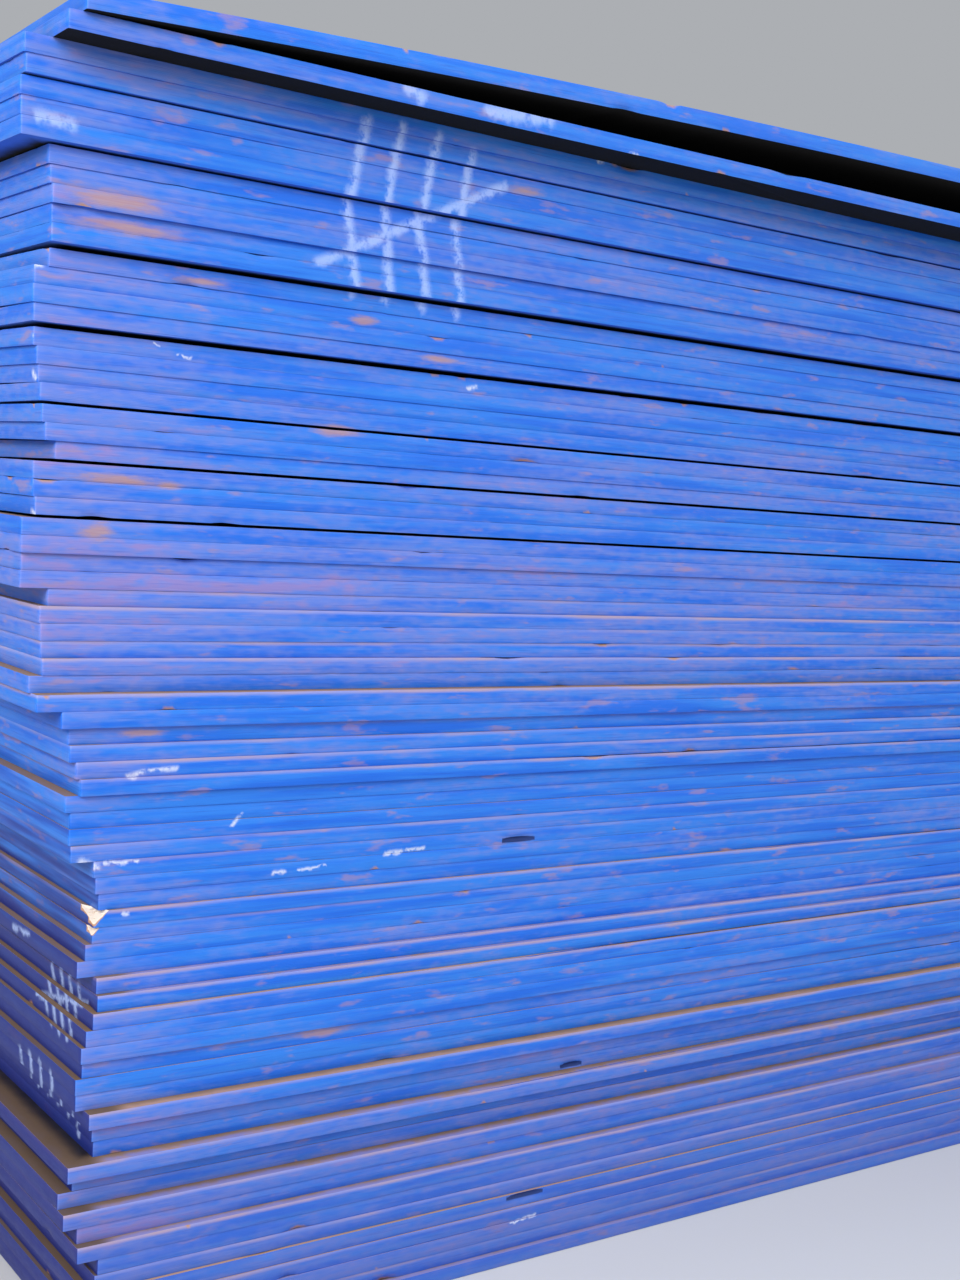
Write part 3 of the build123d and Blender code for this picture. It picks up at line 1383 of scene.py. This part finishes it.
@dataclass
class Softbox:
    """A square area light that faces a point."""

    name: str
    place: tuple
    target: tuple
    size: float
    power: float
    tint: tuple = (1.0, 1.0, 1.0)

    def build(self) -> None:
        """Build the light."""
        data = bpy.data.lights.new(self.name, "AREA")
        data.shape = "SQUARE"
        data.size = self.size
        data.energy = self.power
        data.color = self.tint
        made = bpy.data.objects.new(self.name, data)
        made.location = self.place
        aim = Vector(self.place) - Vector(self.target)
        made.rotation_euler = aim.to_track_quat("Z", "Y").to_euler()
        made.visible_camera = False
        bpy.context.scene.collection.objects.link(made)


@dataclass
class Studio:
    """Floor, light and the camera at the photo's angle."""

    eye: tuple = (-1.7027, -1.8525, 0.7732)
    right: tuple = (0.8183, -0.5712, 0.0640)
    up: tuple = (0.0312, 0.1552, 0.9874)
    back: tuple = (-0.5739, -0.8060, 0.1448)
    lens: float = 45.56
    sensor: float = 36.0
    shift_up: float = 0.0797
    sky: tuple = (0.86, 0.89, 0.94, 1.0)
    sky_strength: float = 0.48
    floor_size: float = 14.0
    floor_drop: float = 0.0004
    lights: tuple = (
        Softbox("key", (-3.2, -4.4, 3.4), (-0.9, -0.6, 0.7), 2.4, 118.0, (1.0, 0.98, 0.95)),
        Softbox("side", (-3.4, -1.6, 2.1), (-1.2, -0.4, 1.0), 1.2, 60.0, (1.0, 0.99, 0.97)),
        Softbox("fill", (2.6, -4.6, 2.2), (-0.4, -0.6, 0.6), 3.0, 50.0, (0.95, 0.97, 1.0)),
        Softbox("top", (0.0, -0.4, 4.6), (0.0, 0.0, 0.8), 3.4, 50.0),
    )

    def build(self) -> None:
        """Build everything around the pile."""
        scene = bpy.context.scene
        scene.view_settings.view_transform = "Standard"
        scene.world = bpy.data.worlds.new("studio")
        scene.world.use_nodes = True
        sky = scene.world.node_tree.nodes["Background"].inputs
        sky["Color"].default_value = self.sky
        sky["Strength"].default_value = self.sky_strength
        for light in self.lights:
            light.build()
        self._floor()
        self._camera()

    def _floor(self) -> None:
        """A wide pale floor at the height that the pile stands on."""
        bm = bmesh.new()
        bmesh.ops.create_grid(bm, x_segments=1, y_segments=1, size=self.floor_size)
        mesh = stored(bm, "floor")
        mesh.materials.append(PaleFloor().material())
        floor = bpy.data.objects.new("floor", mesh)
        floor.location.z = -self.floor_drop
        bpy.context.scene.collection.objects.link(floor)

    def _camera(self) -> None:
        """The camera, where the photo was taken from."""
        data = bpy.data.cameras.new("camera")
        data.lens = self.lens
        data.sensor_width = self.sensor
        data.shift_y = self.shift_up
        camera = bpy.data.objects.new("camera", data)
        turn = Matrix((self.right, self.up, self.back)).transposed().to_4x4()
        turn.translation = Vector(self.eye)
        camera.matrix_world = turn
        bpy.context.scene.collection.objects.link(camera)
        bpy.context.scene.camera = camera


PATCHES = (
    (-1.178, 0.996, 0.038, 0.0085), (-1.166, 0.977, 0.050, 0.0055, 0.42),
    (-0.936, 0.931, 0.013, 0.0035), (-0.956, 0.831, 0.022, 0.0048),
    (-1.160, 0.774, 0.040, 0.0045), (-1.117, 0.772, 0.012, 0.0035),
    (-0.781, 1.065, 0.020, 0.0040), (-0.954, 0.271, 0.030, 0.0040, 0.6),
    (-1.180, 0.730, 0.016, 0.0080, 0.6), (-0.850, 0.905, 0.020, 0.0030, 0.6),
    (-1.095, 0.945, 0.024, 0.0040, 0.6), (-1.140, 0.560, 0.018, 0.0030, 0.6),
)

FRONT_MARKS = Marks(
    axis=0,
    patches=tuple(Patch(*row) for row in PATCHES),
    chalk=Stroke.rows(
        (-0.958, 1.096, -0.968, 1.030, 0.0058), (-0.968, 1.030, -0.950, 0.955, 0.0058),
        (-0.922, 1.098, -0.930, 1.036, 0.0055), (-0.930, 1.036, -0.914, 0.952, 0.0055),
        (-0.884, 1.096, -0.893, 1.030, 0.0058), (-0.893, 1.030, -0.874, 0.950, 0.0055),
        (-0.846, 1.088, -0.852, 1.020, 0.0055), (-0.852, 1.020, -0.836, 0.948, 0.0055),
        (-0.990, 0.974, -0.806, 1.066, 0.0055), (-0.858, 1.1165, -0.795, 1.1215, 0.0075),
        (-0.944, 1.1205, -0.930, 1.1150, 0.0070), (-1.247, 1.0480, -1.222, 1.0465, 0.0060),
    ),
    scuffs=Stroke.rows(
        (-1.152, 0.5225, -1.138, 0.5260, 0.0029), (-1.132, 0.5270, -1.106, 0.5285, 0.0021),
        (-1.048, 0.4740, -1.040, 0.4820, 0.0022), (-0.884, 0.4360, -0.868, 0.4365, 0.0027),
        (-0.862, 0.4375, -0.842, 0.4380, 0.0021), (-1.006, 0.4265, -0.994, 0.4270, 0.0022),
        (-0.980, 0.4265, -0.952, 0.4290, 0.0020), (-0.812, 0.8820, -0.803, 0.8840, 0.0026),
        (-1.190, 0.4500, -1.178, 0.4440, 0.0044), (-1.170, 0.4480, -1.140, 0.4470, 0.0019),
        (-1.152, 0.4020, -1.148, 0.4020, 0.0024), (-0.732, 0.0420, -0.700, 0.0450, 0.0019),
        (-1.134, 0.8900, -1.128, 0.8890, 0.0013), (-1.112, 0.8820, -1.100, 0.8812, 0.0015),
        (-0.700, 1.1060, -0.692, 1.1060, 0.0024), (-1.242, 0.9410, -1.236, 0.9400, 0.0036),
    ),
)

END_MARKS = Marks(
    axis=1,
    chalk=Stroke.rows(
        (-0.402, 0.354, -0.444, 0.357, 0.0036), (-0.464, 0.331, -0.484, 0.298, 0.0044),
        (-0.486, 0.334, -0.504, 0.294, 0.0044), (-0.508, 0.332, -0.524, 0.291, 0.0044),
        (-0.530, 0.330, -0.544, 0.290, 0.0042), (-0.456, 0.303, -0.552, 0.321, 0.0034),
        (-0.436, 0.246, -0.446, 0.212, 0.0044), (-0.462, 0.249, -0.472, 0.212, 0.0044),
        (-0.488, 0.250, -0.496, 0.212, 0.0044), (-0.516, 0.248, -0.522, 0.210, 0.0042),
        (-0.550, 0.220, -0.541, 0.198, 0.0038),
    ),
    scuffs=Stroke.rows(
        (-0.556, 0.878, -0.546, 0.884, 0.0040), (-0.538, 0.852, -0.532, 0.856, 0.0035),
        (-0.585, 0.506, -0.580, 0.502, 0.0035), (-0.560, 0.742, -0.540, 0.744, 0.0030),
    ),
)

# How strong the pale line on the top arris of a sheet is, and on all other sheets
PALE_LINES = {
    2: 0.4, 4: 0.5, 6: 0.5, 8: 0.8, 10: 0.8, 11: 0.4, 13: 0.7, 16: 0.7, 19: 0.4, 22: 0.6,
    23: 0.8, 24: 0.75, 27: 0.35, 28: 0.65, 31: 0.3, 32: 0.4, 36: 0.6, 37: 0.6, 38: 0.5,
    39: 0.35, 41: 1.0, 43: 0.9, 44: 0.6, 45: 0.3, 46: 0.8, 47: 0.45, 49: 0.3, 52: 0.25,
}
FAINT_LINE = 0.08

BROKEN = (
    BrokenCorner(28, 0.0138, 0.0295, 0.0108),
    BrokenCorner(27, 0.0060, 0.0120, 0.0070),
)

VOIDS = (Void(31, -0.728, 0.020), Void(5, -0.715, 0.022), Void(14, -0.648, 0.013))


@dataclass
class Pile:
    """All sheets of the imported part, rebuilt node by node."""

    form: SheetForm
    wear: Wear
    nodes: dict

    def build(self) -> list[Object]:
        """Build every piece.

        Returns:
            The pieces, one for each CAD node.
        """
        effects, paint = Effects(), PaintedEdge()
        film = PhenolicFilm(half_length=self.form.length / 2, half_width=self.form.width / 2)
        materials = [
            paint.material(effects, "painted_edge", Marks()),
            film.material(effects),
            paint.material(effects, "marked_edge", FRONT_MARKS),
            paint.material(effects, "marked_end", END_MARKS),
        ]
        templates = {bend: self.form.mesh(bend) for bend in Bend}
        groups = [SheetGroup(name, self._sheets(name)) for name in sorted(self.nodes)]
        return [group.build(templates, materials) for group in groups]

    def _sheets(self, name: str) -> list[Sheet]:
        """Measure the sheets of one node.

        Args:
            name: Name of the node, with the numbers of its sheets from the floor up.

        Returns:
            The sheets, lowest first.
        """
        islands = sorted(self._islands(self.nodes[name]), key=lambda points: points[:, 2].min())
        kind, *words = name.split("_")
        numbers = [int(word) for word in words] if kind == "sheets" else [LOOSE_NUMBERS[words[0]]]
        return [
            Sheet(number, SheetPlace.measured(points, self.form), self.form, self.wear)
            for number, points in zip(numbers, islands, strict=True)
        ]

    @staticmethod
    def _islands(node: Object) -> list[Array]:
        """Find the solids of a node in a merged copy of its mesh.

        Args:
            node: The node.

        Returns:
            The corners of each solid.
        """
        bm = bmesh.new()
        bm.from_mesh(node.data)
        bmesh.ops.remove_doubles(bm, verts=bm.verts, dist=1e-5)
        left = set(bm.verts)
        islands = []
        while left:
            stack = [left.pop()]
            island = []
            while stack:
                vert = stack.pop()
                island.append(vert.co[:])
                others = {edge.other_vert(vert) for edge in vert.link_edges} & left
                left -= others
                stack += others
            islands.append(np.array(island))
        bm.free()
        return islands


def main() -> None:
    """Build the pile and its studio, and log how many pieces and triangles were built."""
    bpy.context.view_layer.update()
    pile = Pile(SheetForm(), Wear(), frame["nodes"])
    pieces = pile.build()
    Studio().build()
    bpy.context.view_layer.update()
    triangles = sum(len(p.data.loops) - 2 * len(p.data.polygons) for p in pieces)
    log.info("%d pieces, %d triangles", len(pieces), triangles)


if __name__ == "__main__":
    main()
